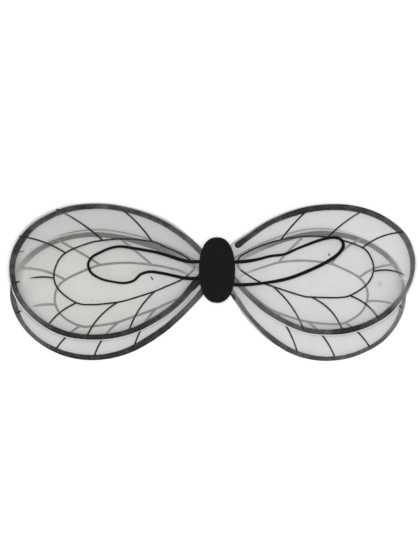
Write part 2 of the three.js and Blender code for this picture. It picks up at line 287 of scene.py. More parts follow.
def tube_faces(rings, around, closed=False, first=0):
    """Faces of a tube of rings. Its caps come last, unless it is closed."""
    faces = []
    for i in range(rings if closed else rings - 1):
        a, b = first + i * around, first + ((i + 1) % rings) * around
        for j in range(around):
            k = (j + 1) % around
            faces.append((a + j, b + j, b + k, a + k))
    if not closed:
        last = first + (rings - 1) * around
        faces.append(tuple(range(first, first + around)))
        faces.append(tuple(last + j for j in reversed(range(around))))
    return faces


# Materials. Numbers of the mix node's colour sockets.
MIX_FACTOR, MIX_A, MIX_B, MIX_RESULT = 0, 6, 7, 2


class Value:
    """An output of a look's node. Arithmetic with it adds nodes."""

    def __init__(self, look, socket):
        self.look, self.socket = look, socket

    def __add__(self, other):
        return self.look.math("ADD", self, other)

    def __sub__(self, other):
        return self.look.math("SUBTRACT", self, other)

    def __rsub__(self, other):
        return self.look.math("SUBTRACT", other, self)

    def __mul__(self, other):
        return self.look.math("MULTIPLY", self, other)


class Look:
    def __init__(self, name, **sockets):
        self.material = bpy.data.materials.new(name)
        self.material.use_nodes = True
        self.tree = self.material.node_tree
        self.shader = self.tree.nodes["Principled BSDF"]
        self.fill(self.shader, sockets)
        self.place = self.out(self.add("ShaderNodeTexCoord"), "Object")

    def fill(self, node, inputs):
        for socket, value in inputs.items():
            self.put(node.inputs[socket.replace("_", " ")], value)
        return node

    def add(self, kind, settings=None, **inputs):
        node = self.tree.nodes.new(kind)
        for key, value in (settings or {}).items():
            setattr(node, key, value)
        return self.fill(node, inputs)

    def put(self, socket, value):
        if isinstance(value, Value):
            self.tree.links.new(value.socket, socket)
        else:
            socket.default_value = value

    def out(self, node, name):
        return Value(self, node.outputs[name])

    def set(self, socket, value):
        self.put(self.shader.inputs[socket], value)

    def math(self, operation, a, b):
        node = self.add("ShaderNodeMath", {"operation": operation})
        self.put(node.inputs[0], a)
        self.put(node.inputs[1], b)
        return self.out(node, "Value")

    def value(self, name):
        return self.out(self.add("ShaderNodeAttribute", {"attribute_name": name}), "Fac")

    def stretched(self, x, y, z):
        return self.out(self.add("ShaderNodeMapping", Vector=self.place, Scale=(x, y, z)), "Vector")

    def noise(self, size, detail, place=None):
        """Noise from 0 to 1 with features of that size."""
        scale, place = 1 / (size * MM), place or self.place
        return self.out(self.add("ShaderNodeTexNoise", Vector=place, Scale=scale, Detail=detail), "Fac")

    def step(self, value, start, end):
        """0 where the value is before start, 1 after end."""
        smooth = {"interpolation_type": "SMOOTHSTEP"}
        node = self.add("ShaderNodeMapRange", smooth, Value=value, From_Min=start, From_Max=end)
        return self.out(node, "Result")

    def ramp(self, factor, *stops):
        """A ramp over (position, colour) stops. A colour is one number for a grey or three."""
        node = self.add("ShaderNodeValToRGB", Fac=factor)
        points = node.color_ramp.elements
        while len(points) < len(stops):
            points.new(0.5)
        for point, (position, colour) in zip(points, stops):
            point.position = position
            point.color = (*((colour,) * 3 if isinstance(colour, (int, float)) else colour), 1)
        return self.out(node, "Color")

    def mix(self, factor, a, b, blend="MIX"):
        node = self.add("ShaderNodeMix", {"data_type": "RGBA", "blend_type": blend})
        for index, value in ((MIX_FACTOR, factor), (MIX_A, a), (MIX_B, b)):
            self.put(node.inputs[index], value)
        return self.out(node, MIX_RESULT)

    def bump(self, height, distance, strength):
        node = self.add("ShaderNodeBump", Height=height, Distance=distance * MM, Strength=strength)
        self.set("Normal", self.out(node, "Normal"))


# How far over the lower wing's edge, on an upper fabric: the end of the strip with nothing under it, painted
# shade, and both sides of the painted shade line along that edge and of the soft painted shade before it.
STRIP_END = (-1.7, -0.6)
LINE_FROM, LINE_TO = (-3.0, -1.9), (-0.8, 0.1)
SHADE_FROM, SHADE_TO = (-9.0, -2.0), (-1.8, -0.8)
SHADE, LINE_COVER, LINE_DARK = 0.3, 0.2, 0.6
ROOT_TINT = (1.0, 1.0, 1.035)
# How much streaks, clouds and threads brighten the fabric, and how uneven they make its cover.
STREAKS, CLOUDS, WEAVE, DARKEST = 0.07, 0.16, 0.06, 0.82
STREAK_HOLES, WEAVE_HOLES = 0.05, 0.10
THREAD_SIZE, THREAD_SQUEEZE, STREAK_SQUEEZE = 0.5, 0.12, 0.05


def sheer_look(name, tint, upper):
    """Sheer fabric. Its cover and tone come with the mesh, and its weave on top."""
    look = Look(name, Roughness=0.62, Sheen_Weight=0.12, Sheen_Roughness=0.5, Specular_IOR_Level=0.25)
    cover, tone = look.value("cover"), look.value("tone")
    if upper:
        # Painted shade: the strip with no lower wing under it is denser and darker, and a dark line with a
        # soft shade runs along the lower wing's edge.
        over = look.value("over")
        alone = 1.0 - look.step(over, *STRIP_END)
        line = look.step(over, *LINE_FROM) - look.step(over, *LINE_TO)
        shade = look.step(over, *SHADE_FROM) - look.step(over, *SHADE_TO)
        line = (line + shade * SHADE) * look.value("crease")
        cover = cover + alone * (look.value("cover_alone") - cover) + line * LINE_COVER
        tone = (tone + alone * (look.value("tone_alone") - tone)) * (1.0 - line * LINE_DARK)
    streaks = look.noise(2.2, 4.0, look.stretched(STREAK_SQUEEZE, 1, 1))
    clouds = look.noise(28, 3.0)
    threads = look.noise(THREAD_SIZE, 1.0, look.stretched(THREAD_SQUEEZE, 1, 1))
    cross = look.noise(THREAD_SIZE, 1.0, look.stretched(1, THREAD_SQUEEZE, 1))
    weave = threads + cross
    tone = tone * (streaks * STREAKS + clouds * CLOUDS + weave * WEAVE + DARKEST)
    grey = look.out(look.add("ShaderNodeCombineColor", Red=tone, Green=tone, Blue=tone), "Color")
    tinted = look.mix(look.value("gathered"), (*tint, 1), (*ROOT_TINT, 1))
    look.set("Base Color", look.mix(1.0, tinted, grey, "MULTIPLY"))
    uneven = (streaks - 0.5) * STREAK_HOLES + (weave - 1.0) * WEAVE_HOLES
    look.set("Alpha", cover * (uneven + 1.0))
    look.bump(weave, 0.05, 0.35)
    return look.material


# Glitter: its darkest and palest greys, the share of flecks and its colour where thin, and how flecks gather.
BAND_GLITTER = {"dark": 0.004, "fleck": 0.095, "share": 0.36}
VEIN_GLITTER = {"dark": 0.005, "fleck": 0.05, "share": 0.22}
THIN_GLITTER = (0.36, 0.36, 0.355)
FLECK_SIZE, CLUMP_SIZE, PATCH_SIZE = 0.55, 3.2, 15
CLUMPS, PATCHES, PATCH_MIDDLE, PALE_PATCHES = 0.5, 0.75, 0.49, 0.35


def glitter_colour(look, dark, fleck, share):
    """Grey flecks. The mesh says where they are thin and so paler, or fewer, below zero."""
    cells = look.add("ShaderNodeTexVoronoi", Scale=1 / (FLECK_SIZE * MM), Vector=look.place)
    grey = look.out(look.add("ShaderNodeSeparateColor", Color=look.out(cells, "Color")), "Red")
    clumps = (look.noise(CLUMP_SIZE, 2.0) - 0.5) * CLUMPS
    patches = (look.noise(PATCH_SIZE, 3.0) - PATCH_MIDDLE) * PATCHES
    thin = look.value("thin")
    level = (grey + clumps) + (patches + look.math("MINIMUM", thin, 0.0))
    middle, pale = (1 - share, dark * 1.6), (1 - share * 0.45, fleck * 0.45)
    colour = look.ramp(level, (0.0, dark), middle, pale, (1.0, fleck))
    paler = look.math("MAXIMUM", thin + patches * PALE_PATCHES, 0.0)
    return look.mix(paler, colour, (*THIN_GLITTER, 1)), look.out(cells, "Distance")


def glitter_look(name, dark, fleck, share):
    look = Look(name, Metallic=0.1, Specular_IOR_Level=0.15)
    colour, relief = glitter_colour(look, dark, fleck, share)
    look.set("Base Color", colour)
    look.set("Roughness", look.ramp(look.noise(0.7, 1.0), (0.3, 0.42), (0.7, 0.68)))
    look.bump(relief, 0.12, 0.6)
    return look.material


def flake_look():
    look = Look("glitter_flake", Metallic=0.85, Roughness=0.3)
    look.set("Base Color", look.ramp(look.noise(0.8, 0.0), (0.35, 0.010), (0.6, 0.03), (0.75, 0.12)))
    return look.material


def casing_look():
    """The rim's fabric casing, darker where it is gathered, with glitter over part of it."""
    look = Look("rim_casing", Roughness=0.75, Sheen_Weight=0.2, Specular_IOR_Level=0.25)
    fabric = look.ramp(look.noise(1.6, 4.0), (0.3, (0.44, 0.44, 0.435)), (0.7, (0.60, 0.60, 0.59)))
    gathers = look.ramp(look.noise(2.4, 2.0), (0.3, 0.5), (0.7, 0.8))
    fabric = look.mix(look.value("gathered"), fabric, look.mix(1.0, fabric, gathers, "MULTIPLY"))
    glitter, relief = glitter_colour(look, **BAND_GLITTER)
    uneven = (look.noise(1.1, 3.0) - 0.5) * 0.5
    covered = look.ramp(look.value("print") + uneven, (0.4, 0), (0.6, 1))
    look.set("Base Color", look.mix(covered, fabric, glitter))
    look.bump(look.noise(0.35, 2.0) + relief * 0.5, 0.1, 0.5)
    return look.material


def felt_look():
    look = Look("black_felt", Roughness=0.95, Sheen_Weight=0.06, Sheen_Roughness=0.6, Specular_IOR_Level=0.12)
    fibres = look.noise(0.55, 6.0)
    level = fibres * 0.7 + look.noise(6.0, 3.0) * 0.3
    look.set("Base Color", look.ramp(level, (0.3, (0.0030, 0.0031, 0.0038)), (0.7, (0.0075, 0.0077, 0.0094))))
    look.bump(fibres, 0.25, 0.8)
    return look.material


def fibre_look():
    look = Look("felt_fibre", Roughness=0.9, Specular_IOR_Level=0.1)
    stops = (0.3, (0.004, 0.004, 0.005)), (0.7, (0.014, 0.014, 0.017))
    look.set("Base Color", look.ramp(look.noise(3.0, 1.0), *stops))
    return look.material


def elastic_look():
    look = Look("black_elastic", Roughness=0.75, Sheen_Weight=0.04, Specular_IOR_Level=0.06)
    yarn = look.noise(0.6, 3.0)
    look.set("Base Color", look.ramp(yarn, (0.3, (0.0025, 0.0025, 0.003)), (0.75, (0.010, 0.010, 0.011))))
    look.bump(yarn, 0.08, 0.6)
    return look.material


# Elastics: route points as in the solids' source, with the width that shows there from above.
ELASTIC_WIDTH, ELASTIC_THICK, ELASTIC_EDGE = 4.8, 0.9, 0.35
ELASTIC_RIBS, ELASTIC_ACROSS = 7, 15
RIB_HIGH, BRAID_HIGH, BRAID_LONG = 0.1, 0.06, 1.9
ELASTIC_SPACING, PATH_EVERY = 0.6, 4
ELASTIC_ROUTES = {
    "left_elastic": [
        (-12.5, 11, 4.2), (-25, 11.5, 4.2), (-37.5, 11.5, 4.2), (-51.5, 14.5, 3.9), (-65, 19, 3.6),
        (-82, 24, 3.3), (-100, 27.5, 3.1), (-118, 30.5, 2.9), (-134.5, 32.5, 2.8), (-148.5, 30, 2.8),
        (-162, 24, 2.8), (-173, 17.5, 2.8), (-178, 8.5, 2.8), (-174.5, -3, 2.7), (-162, -11.5, 2.5),
        (-145.5, -16, 2.2), (-127.5, -18, 2.5), (-115, -14.5, 2.6), (-105.5, -6, 2.8), (-93, -2.5, 3),
        (-76, -4.5, 3.3), (-59.5, -8, 3.1), (-43, -11.5, 3.9), (-25, -11.5, 4.2), (-12.5, -10.5, 4.2),
    ],
    "right_elastic": [
        (12.5, 11, 4), (25, 11, 3.9), (40, 12, 3.9), (55.5, 14.5, 3.2), (73.5, 19, 2.9), (94, 22, 2.7),
        (111, 29.5, 2.5), (127.5, 36, 3), (143, 41.5, 3), (156.5, 44.5, 3), (166.5, 44.5, 3),
        (173, 40, 3.2), (174.5, 33, 3.6), (169, 23.5, 4.2), (156.5, 14, 4.5), (140, 5, 4.1),
        (122, -3, 3.8), (102.5, -10.5, 3.8), (84.5, -15, 3.6), (65, -18, 3), (45.5, -20, 3.6),
        (29, -20.5, 4.2), (16.5, -20, 4.2),
    ],
}
SHOWN_MORE = 1.25
# The elastic turns over gradually, in steps along its run.
TURN_STEPS = 41
PRINT_HIGH = 0.55
elastic_material = elastic_look()


def add_elastic(name, route):
    """A flat ribbed elastic on its upper wing. It leans over where it shows narrower from above."""
    wing = WINGS[name.split("_")[0] + "_upper"]
    run = smooth_run(route, ELASTIC_SPACING)
    shown = np.clip(run[:, 2] * SHOWN_MORE / ELASTIC_WIDTH, 0, 1)
    weights = np.hanning(TURN_STEPS + 2)[1:-1]
    lean = np.pad(np.arccos(shown), TURN_STEPS // 2, "edge")
    lean = np.convolve(lean, weights / weights.sum(), "valid")
    plan = run[:, :2]
    half_high = ELASTIC_WIDTH / 2 * np.sin(lean) + ELASTIC_THICK / 2 * np.cos(lean)
    line = wing.lifted(plan, FABRIC_LIFT + PLEAT_HIGH + PRINT_HIGH + half_high)
    side = np.column_stack([left_normals(plan), np.zeros(len(plan))])
    up = np.array([0, 0, 1.0])
    flat = side * np.cos(lean)[:, None] + up * np.sin(lean)[:, None]
    face = up * np.cos(lean)[:, None] - side * np.sin(lean)[:, None]
    turns = 2 * math.pi * np.arange(len(plan)) * ELASTIC_SPACING / BRAID_LONG
    points = []
    for turn in (1, -1):
        for a in np.linspace(-1, 1, ELASTIC_ACROSS) * turn:
            rib = RIB_HIGH * np.abs(np.cos(a * ELASTIC_RIBS * math.pi / 2))
            braid = BRAID_HIGH * np.sin(turns + round(a * ELASTIC_RIBS) * math.pi)
            edge = (1 - abs(a) ** 6) ** 0.5 if abs(a) < 1 else 0
            thick = ELASTIC_THICK / 2 * (ELASTIC_EDGE + (1 - ELASTIC_EDGE) * edge)
            high = turn * (thick + (rib + braid) * edge)
            points.append(line + flat * (a * ELASTIC_WIDTH / 2) + face * high[:, None])
    points = np.stack(points, 1).reshape(-1, 3)
    faces = tube_faces(len(plan), 2 * ELASTIC_ACROSS)
    piece = new_piece(f"{name}_band", points, faces, elastic_material, name)


for elastic_name, elastic_route in ELASTIC_ROUTES.items():
    add_elastic(elastic_name, elastic_route)


# Glitter along each wing's edge: hundredths of the edge from its front root, distances of the glitter's outer
# and inner sides from the wing's outer edge, and hundredths of thinness, or darkness below zero. An outer
# distance below zero makes the casing that much wider.
EDGES = {
    "left_upper": [
        (0, 1, 8.4, 15), (5, 1, 8.6, 15), (9, 3.1, 10.2, 3), (12, 3, 10.1, 3), (16, 1.9, 9.2, 3),
        (24, 1.4, 8.4, 3), (30, 1.7, 9.4, 0), (36, 3.1, 10.6, 3), (40, 2.9, 10.8, 3),
        (42, 2.5, 11.3, -15), (45, 1.4, 10.4, -5), (48, 0.9, 8.8, 3), (52, 0.8, 8.1, 0),
        (55, 0.3, 7.5, 16), (60, 0, 7, 17), (63, 0.3, 7.4, 6), (66, 0.5, 8, -10), (72, 0, 7.2, -15),
        (78, 0.5, 7.8, -15), (82, 0.9, 8.5, -15), (85, 2.2, 10, 0), (88, 3.6, 11.1, 8),
        (92, 3.2, 10.7, 8), (95, 1.9, 10.6, 6), (96.5, 0.2, 10.8, -40), (100, 0.2, 11, -60),
    ],
    "right_upper": [
        (0, 2.7, 11, 0), (4, 2.6, 11.2, -10), (6, 2.4, 9.9, 0), (10, 1.9, 9.1, 2), (12, 2, 9, 5),
        (17, 1.8, 10, -10), (24, 1.2, 9.3, -8), (30, 0, 8.7, 2), (36, -0.3, 8, 3), (42, 0.4, 8.2, 12),
        (46, 0.8, 8.2, 24), (49, 0.9, 7.4, 18), (52, -0.9, 4.8, 22), (55, -1, 4.9, 48),
        (58, -0.3, 7.2, 26), (60, -0.8, 7.5, 0), (62, -0.8, 7.3, 10), (65, -0.8, 7.2, 6),
        (71, -0.9, 7.4, -20), (74, 0, 7.2, 8), (82, 0.8, 7.3, 12), (90, 0, 6.9, 12), (94, 0, 6.9, 28),
        (100, 0, 7.5, 10),
    ],
    "left_lower": [
        (0, 2.5, 9.8, 60), (4, 2.5, 10.3, 40), (8, 2.6, 10.6, 8), (14, 3, 10.8, -20),
        (20, 3.3, 10.3, -25), (26, 3.1, 9.7, -20), (34, 2.6, 9.2, 0), (38, 2.2, 9.2, 18),
        (40, 2.2, 9.4, 40), (41.5, 2.2, 8, 70), (43, 2, 5.5, 80), (44.5, 1.5, 5, 70), (46.5, 0.4, 7, 25),
        (49, -0.3, 7.4, 16), (52, -0.4, 7, 12), (55, -0.8, 5.4, 28), (60, -0.7, 5.3, 18),
        (64, -0.7, 6.4, 0), (75, -0.6, 7, -6), (84, -0.5, 8.8, -6), (90, 0, 8.7, 3), (94, -0.2, 7.8, 15),
        (97, -0.5, 7.9, 18), (100, -0.9, 7.9, 0),
    ],
    "right_lower": [
        (0, 2.5, 9.4, 60), (6, 2.5, 9, 45), (11, 3, 9.2, -5), (18, 3.4, 9.6, -20), (22, 2.5, 9.3, -15),
        (28, 2.3, 9, 0), (33, 1.8, 8.2, 8), (38, 2.2, 8.5, 15), (41.5, 3, 8.6, 45), (43.5, 3.5, 5.5, 75),
        (45.5, 2.5, 4.5, 80), (47, 0, 7, 70), (49, -0.6, 7.5, 52), (52, -0.7, 5.7, 48), (54, 0, 5.8, 42),
        (57, 0.8, 6.2, 28), (61, -0.2, 5.7, 20), (66, -0.7, 5.2, 16), (72, -0.6, 5.5, 8),
        (76, 0, 6.8, 13), (81, -0.5, 6.8, 10), (85, 1, 8.4, 8), (89, 2.4, 8.2, 15), (93, 2.5, 7.8, 22),
        (96, 1.4, 8, 32), (97, 0, 7.6, 45), (100, 0, 7.6, 45),
    ],
}
EDGE_UNITS = (0.01, 1, 1, 0.01)


def edge_glitter(wing, share):
    """The glitter's outer and inner distances and thinness at shares of the edge."""
    table = np.array(EDGES[wing.name]) * EDGE_UNITS
    return [np.interp(share, table[:, 0], table[:, k]) for k in (1, 2, 3)]


# Rims: wire in a gathered fabric casing, with glitter over part of it.
RIM_SIDES, RIM_SPACING = 16, 1.2
GATHER_DEPTH, GATHER_SIZE, CREASE_DEPTH, CREASE_SIZE = 0.06, 2.6, 0.04, 0.9
CREASED_SIDES, CREASED_MORE = 3, 0.8
GLITTER_END = (-0.5, 0.3)
# The share of the edge past which a casing's glitter is dark, if any.
DARK_FROM, DARK = by_wing(2, 2, 2, 0.966), -0.6
casing_material = casing_look()


def add_rim(wing):
    run = wing.inset(-FILM_TO_RIM, RIM_SPACING)
    line = wing.lifted(run, 0)
    outward = wing.side * left_normals(run)
    share = np.linspace(0, 1, len(run))
    bare_until, _, thin = edge_glitter(wing, share)
    thin = np.where(share < DARK_FROM[wing.name], thin, DARK)
    creases = GATHER_DEPTH - GATHER_DEPTH * wobble(run, GATHER_SIZE, seed=3.0)
    creases = creases - CREASE_DEPTH * wobble(run, CREASE_SIZE, seed=8.0)
    rings, prints = [], []
    for angle in 2 * math.pi * np.arange(RIM_SIDES) / RIM_SIDES:
        reach = RIM_RADIUS - creases * (1 + CREASED_MORE * math.cos(CREASED_SIDES * angle))
        points = line.copy()
        wider = np.maximum(0, -bare_until) if math.cos(angle) > 0 else 0
        points[:, :2] += outward * ((reach + wider) * math.cos(angle))[:, None]
        points[:, 2] += reach * math.sin(angle)
        rings.append(points)
        prints.append(ease(RIM_RADIUS * (1 - math.cos(angle)) - bare_until, *GLITTER_END))
    points = np.stack(rings, 1).reshape(-1, 3)
    faces = [face[::-wing.side] for face in tube_faces(len(run), RIM_SIDES)]
    floats = {
        "print": np.stack(prints, 1).ravel(),
        "thin": np.repeat(thin, RIM_SIDES),
        "gathered": np.repeat(wing.gathers(run)[0], RIM_SIDES),
    }
    name = f"{wing.name}_casing"
    return new_piece(name, points, faces, casing_material, f"{wing.name}_rim", floats)


# Fabrics: how much light they stop and how pale they are. An upper one is denser and darker, as painted
# shade, in the strip with no lower wing under it, and covers more at its tip.
FABRIC_SPACING, FABRIC_RINGS = 1.8, 72
FABRICS = {
    "left_upper": {"tint": (1.0, 1.003, 0.964), "cover": 0.17, "tone": 0.74, "strip": (0.52, 0.41)},
    "right_upper": {"tint": (1.0, 0.974, 0.966), "cover": 0.15, "tone": 0.90, "strip": (0.50, 0.575)},
    "left_lower": {"tint": (1.0, 1.003, 0.972), "cover": 0.6, "tone": 0.605},
    "right_lower": {"tint": (1.0, 0.98, 0.97), "cover": 0.6, "tone": 0.635},
}
TIP_COVER, TIP_OUT = 0.30, (250, 285)
# Gathered fabric covers more and has painted shade, by these shares of its gathers and pleats.
GATHER_PAINTED_SHADE, GATHERED_COVER, GATHERS, PLEATED = 0.16, 0.06, 0.6, 0.4
# Darkening beside the band and a haze further in: the share of the darkening beside the band along the front,
# and the haze along the front and the rear.
BESIDE_BAND, BESIDE_BAND_REACH, DARKENING_TONE, HAZE_REACH = 0.28, 2.4, 0.05, 25
BAND_DARKENINGS = by_wing((0.35, 0.05, 0.05), (0.35, 0.05, 0.05), (1, 0.23, 0.10), (0.6, 0.13, 0.07))
REAR_FROM = (0.38, 0.46)
# More darkening at an upper wing's tip: amount, share of the edge, half width and reach inwards.
TIP_DARKENING = by_wing(0.42, 0.32, 0, 0)
TIP_DARKENING_AT, TIP_DARKENING_HALF, TIP_DARKENING_REACH = 0.51, 0.06, 6
# The painted shade line along the lower wing's edge fades between these distances out. The painted shade of
# the strip reaches further in near the tips, where the wings lie further apart.
SHADE_LINE_OUT = by_wing((195, 240), (150, 200))
PARTED, PARTED_OUT = 1.1, (150, 230)
# The lip of fabric outside the rear of an upper rim: the shares of the edge it runs between, and its tone. It
# is paler near the tip and where it thins out. Elsewhere it is tucked in the casing.
LIP_WIDTH, LIP_FADE, LIP_COVER, LIP_EASE = 0.7, 0.6, 0.9, 0.02
LIP_PALE, LIP_THIN, LIP_PALE_UNTIL = 0.84, 0.95, (0.56, 0.60)
LIP_TUCKED = (0.4, 0.6)
NO_LIP = (2, 3, 0)
LIPS = by_wing((0.52, 0.83, 0.64), (0.555, 0.89, 0.71), NO_LIP, NO_LIP)
# Marks: pixel, radii in pixels, cover and tone. They are uneven. The pale ones are painted highlights of
# creases, and the dark ones beside the pad are painted shade.
MARKS_AND_PAINTED_LIGHT = {
    "left_upper": [
        ((17, 264), (7, 14), 0.34, 0.1), ((25.3, 279.5), (2.8, 7), 0.28, 0.9),
        ((36, 242), (18, 9), 0.10, 0.1),
    ],
    "right_upper": [
        ((379.5, 283.5), (2.6, 2.6), 0.27, 0.1), ((400.5, 283), (5, 7), 0.24, 0.1),
        ((392, 290), (12, 14), 0.07, 0.1), ((404, 278.5), (4.5, 1.3), 0.5, 0.95),
        ((236, 261), (4, 13), 0.28, 0.1), ((386, 268), (14, 6), 0.09, 0.1), ((325, 325), (24, 5), 0.12, 0.1),
    ],
    "left_lower": [
        ((129, 243.5), (16, 4), 0.60, 0.1), ((189, 298), (10, 9), 0.33, 0.1),
        ((146, 247.5), (13, 3.5), 0.35, 0.1), ((110, 243), (14, 5), 0.12, 0.1),
        ((174, 306), (12, 7), 0.14, 0.1),
    ],
    "right_lower": [((239, 294), (9, 8), 0.26, 0.1), ((356, 242), (14, 6), 0.14, 0.1)],
}
MARK_LEAST, MARK_UNEVEN, MARK_SIZE = 0.8, 0.4, 3


def from_pixel(pixel):
    return np.array([(pixel[0] - ORIGIN_PX[0]) * PX, (ORIGIN_PX[1] - pixel[1]) * PX])


def marked(cover, tone, amount, mark):
    """Cover and tone of a fabric that has marks of another tone."""
    added = amount * (1 - cover)
    return cover + added, (cover * tone + added * mark) / (cover + added)


def fabric_tones(wing, plan, along, cover, tone):
    """Cover and tone at each plan point, from those of the plain fabric."""
    cover, tone = np.full(len(plan), cover), np.full(len(plan), tone)
    gathered, pleats = wing.gathers(plan)
    # Painted shade in the gathers and pleats.
    tone *= 1 - GATHER_PAINTED_SHADE * (GATHERS * gathered + PLEATED * pleats)
    cover += GATHERED_COVER * (gathered + pleats)
    if wing.upper:
        cover = np.maximum(cover, TIP_COVER * ease(np.abs(plan[:, 0]), *TIP_OUT))
    inside = distance_inside(plan, wing.ring) + RIM_RADIUS
    from_band = np.maximum(0, inside - edge_glitter(wing, along)[1])
    front_near, front_haze, rear_haze = BAND_DARKENINGS[wing.name]
    rear = ease(along, *REAR_FROM)
    near_band = BESIDE_BAND * (front_near + (1 - front_near) * rear) * np.exp(-from_band / BESIDE_BAND_REACH)
    haze = (front_haze + (rear_haze - front_haze) * rear) * np.exp(-from_band / HAZE_REACH)
    tip = TIP_DARKENING[wing.name] * bell(along, TIP_DARKENING_AT, TIP_DARKENING_HALF)
    cover, tone = marked(cover, tone, near_band + haze + tip * np.exp(-from_band / TIP_DARKENING_REACH), DARKENING_TONE)
    uneven = MARK_LEAST + MARK_UNEVEN * wobble(plan, MARK_SIZE, seed=2.0)
    # Marks, among them painted highlights and painted shade beside the pad.
    for pixel, radii, amount, mark in MARKS_AND_PAINTED_LIGHT[wing.name]:
        spread = lengths((plan - from_pixel(pixel)) / (np.array(radii) * PX))
        cover, tone = marked(cover, tone, amount * bell(spread, 0, 1) * uneven, mark)
    return cover, tone


def add_fabric(wing, rim):
    edge = wing.inset(-FILM_TO_RIM, FABRIC_SPACING)
    ring = even_run(np.vstack([edge, edge[:1]]), FABRIC_SPACING)[:-1]
    count = len(ring)
    along = np.minimum(np.arange(count) / (len(edge) - 1), 1)
    middle = ring.mean(0)
    shares = np.linspace(0, 1, FABRIC_RINGS + 1)[1:]
    start, end, lip_tone = LIPS[wing.name]
    lip_tone = LIP_PALE + (lip_tone - LIP_PALE) * ease(along, *LIP_PALE_UNTIL)
    lip = ease(along, start, start + LIP_EASE) * (1 - ease(along, end - LIP_EASE, end))
    outward = wing.side * left_normals(ring, True)
    plan = [middle, (middle + shares[:, None, None] * (ring - middle)).reshape(-1, 2)]
    casing = RIM_RADIUS + np.maximum(0, -edge_glitter(wing, along)[0])
    for tucked, reach in zip(LIP_TUCKED, (LIP_WIDTH, LIP_WIDTH + LIP_FADE)):
        plan.append(ring + outward * (tucked + (casing + reach - tucked) * lip)[:, None])
    plan = np.vstack(plan)
    faces = [(0, 1 + j, 1 + (j + 1) % count) for j in range(count)]
    faces += tube_faces(FABRIC_RINGS + 2, count, first=1)[:-CAPS]
    faces = [face[::-wing.side] for face in faces]
    values = FABRICS[wing.name]
    at_edge = np.concatenate([[0], np.tile(along, FABRIC_RINGS + 2)])
    cover, tone = fabric_tones(wing, plan, at_edge, values["cover"], values["tone"])
    for row, cover_there, tone_there in (
        (slice(-2 * count, -count), LIP_COVER, lip_tone),
        (slice(-count, None), 0, LIP_THIN),
    ):
        cover[row] += (cover_there - cover[row]) * lip
        tone[row] += (tone_there - tone[row]) * lip
    floats = {"cover": cover, "tone": tone, "gathered": wing.gathers(plan)[0]}
    if wing.upper:
        lower = WINGS[wing.name.replace("upper", "lower")]
        # Painted shade: the strip with no lower wing under it is denser and darker.
        floats["cover_alone"], floats["tone_alone"] = fabric_tones(wing, plan, at_edge, *values["strip"])
        out = np.abs(plan[:, 0])
        floats["over"] = distance_inside(plan, lower.ring) - PARTED * ease(out, *PARTED_OUT)
        for key in ("cover", "tone"):
            floats[f"{key}_alone"][-2 * count:] = floats[key][-2 * count:]
        floats["crease"] = (plan[:, 1] > lower.root[1]) * (1 - ease(out, *SHADE_LINE_OUT[wing.name]))
    material = sheer_look(f"sheer_{wing.name}", values["tint"], wing.upper)
    name, points = f"{wing.name}_fabric", wing.on_fabric(plan)
    piece = new_piece(name, points, faces, material, f"{wing.name}_film", floats)


# Print: the inner loop's sections as (out, front, rear), its tip and root, and branches from the loop past a
# via point to the band, as distances out and heights on the plan. A band starts at a share of the edge.
PRINTS = {
    "left_upper": {
        "loop": [(43, 18, -9.5), (72, 32, -23.5), (127.5, 43, -42.5), (176, 37.5, -48), (219.7, 12, -26)],
        "tip": (225.6, -8.5), "root": (31, 5.5),
        "branches": [
            ((89.5, 39), (108, 62.5), (133, 85)), ((157.5, 41), (185.5, 63), (217.5, 81.5)),
            ((209.5, 23.5), (235.5, 37), (269, 45.5)), ((226.5, -11), (252.5, -10.5), (280.5, -19)),
            ((194, -45.5), (216, -58), (234, -77)), ((137, -44.5), (163.5, -66), (180, -91.5)),
            ((85, -29), (108, -55), (122, -84.5)),
        ],
    },
    "right_upper": {
        "loop": [
            (31.5, 18, 1.5), (40, 23.5, -5), (57, 32, -15.6), (73.5, 38, -21.5), (122, 46.5, -36.8),
            (170.5, 42, -38), (209.5, 23, -17),
        ],
        "tip": (216.5, 3), "root": (28.5, 9.5),
        "branches": [
            ((88, 41.5), (102, 59), (121.5, 79.5)), ((153, 45.5), (173.5, 63.5), (198, 80)),
            ((201.5, 30.5), (224.5, 45), (254.5, 51.5)), ((216.5, -2), (238.5, -0.5), (266, -11)),
            ((183.5, -35.5), (206.5, -48), (223, -66.5)), ((130.5, -37.5), (156.5, -55.5), (173.5, -83)),
            ((77.5, -23.5), (102, -49), (120, -82.5)),
        ],
    },
    "left_lower": {
        "loop": [(43, -5, -33.5), (72, 4, -47.5), (123.5, 10, -67.5), (173, 3.5, -78), (217.5, -19.5, -60.5)],
        "tip": (225, -40), "root": (32, -19.5),
        "branches": [
            ((90, 7), (109.5, 23.5), (131.5, 41)), ((161.5, 7), (188.5, 23.5), (220.5, 41.5)),
            ((210.5, -13), (237, -2), (271.5, 2.5)), ((224, -48), (251, -49.5), (275, -58)),
            ((190, -77.5), (209.5, -93), (222, -108)), ((136, -72), (157.5, -94), (170, -119)),
            ((84.5, -53.5), (102.5, -77.5), (115.5, -108)),
        ],
    },
    "right_lower": {
        "loop": [(41, -4.5, -28.5), (73.5, 7, -54), (122, 13, -71), (167.5, 5, -75), (201, -14, -57.5)],
        "tip": (209, -34.5), "root": (30, -12),
        "branches": [
            ((85.5, 10.5), (100.5, 27.5), (118, 44.5)), ((158, 8.5), (176, 28.5), (199.5, 42.5)),
            ((197.5, -9.5), (220.5, 3), (245.5, 7)), ((209, -43.5), (231.5, -44), (255.5, -52.5)),
            ((177.5, -73), (196, -87), (211.5, -106.5)), ((126, -72.5), (148.5, -94), (163, -120.5)),
            ((82, -58), (100, -85), (111.5, -115)),
        ],
    },
}
BAND_FROM = by_wing(0, 0.028, 0, 0)
